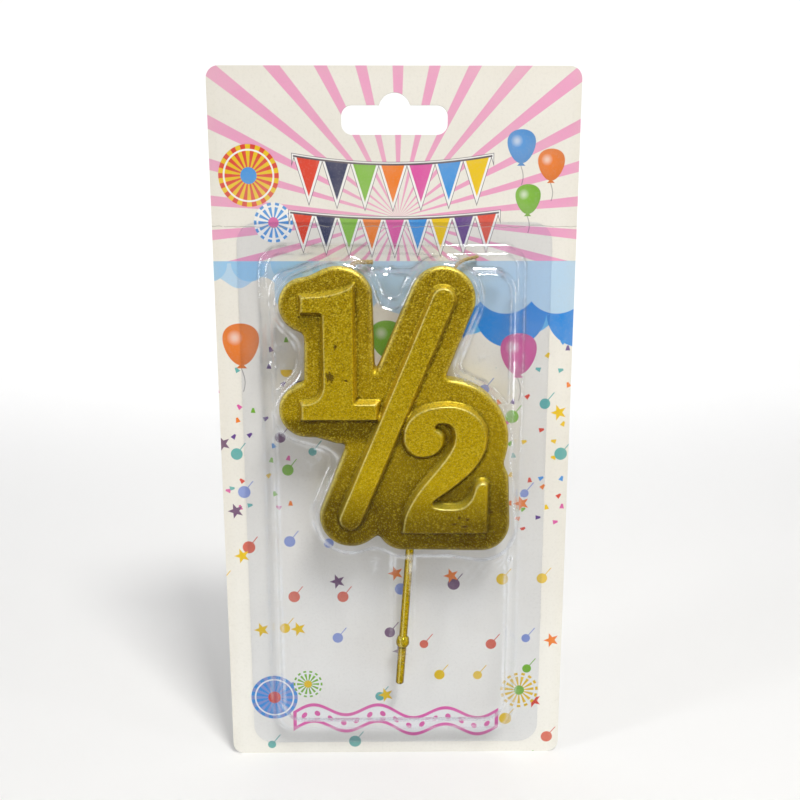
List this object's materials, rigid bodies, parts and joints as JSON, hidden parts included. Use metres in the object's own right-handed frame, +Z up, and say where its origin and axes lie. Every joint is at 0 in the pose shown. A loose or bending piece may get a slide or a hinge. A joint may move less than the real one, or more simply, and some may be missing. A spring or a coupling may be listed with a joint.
{
  "type": "numeral birthday candle in a blister pack",
  "caption": "Moulded wax birthday candle shaped as the fraction one half, with wicks and a cake pick, in a clear blister on a printed card with a hang slot.",
  "frame": {"origin": "middle of the top edge of the hang slot, on the front face of the backing card, where a peg carries the pack", "axes": "+Z up the card, -Y towards the viewer out of the blister, +X to the viewer's right"},
  "size_m": [0.105, 0.0141, 0.21],
  "materials": {
    "printed_card": "coated print on the front, uncoated white behind",
    "clear_blister": "clear glossy thermoformed plastic sheet",
    "gold_wax": "wax under fine metallic gold paint",
    "wick_cotton": "waxed braided cotton",
    "gold_pick": "plastic under gold paint"
  },
  "bodies": {
    "card": {"backing_card": "printed_card"},
    "blister": {"blister_shell": "clear_blister"},
    "candle": {"wax_body": "gold_wax", "wick_one": "wick_cotton", "wick_slash": "wick_cotton", "pick": "gold_pick"}
  },
  "joints": [
    {"name": "candle_lift", "type": "slide", "parent": "card", "child": "candle", "axis": [0, -1, 0], "range_m": [0, 0.03]},
    {"name": "blister_lift", "type": "slide", "parent": "card", "child": "blister", "axis": [0, -1, 0], "range_m": [0, 0.06]}
  ],
  "couplings": [
    {"joint": "blister_lift", "follows": "candle_lift", "ratio": 2}
  ]
}
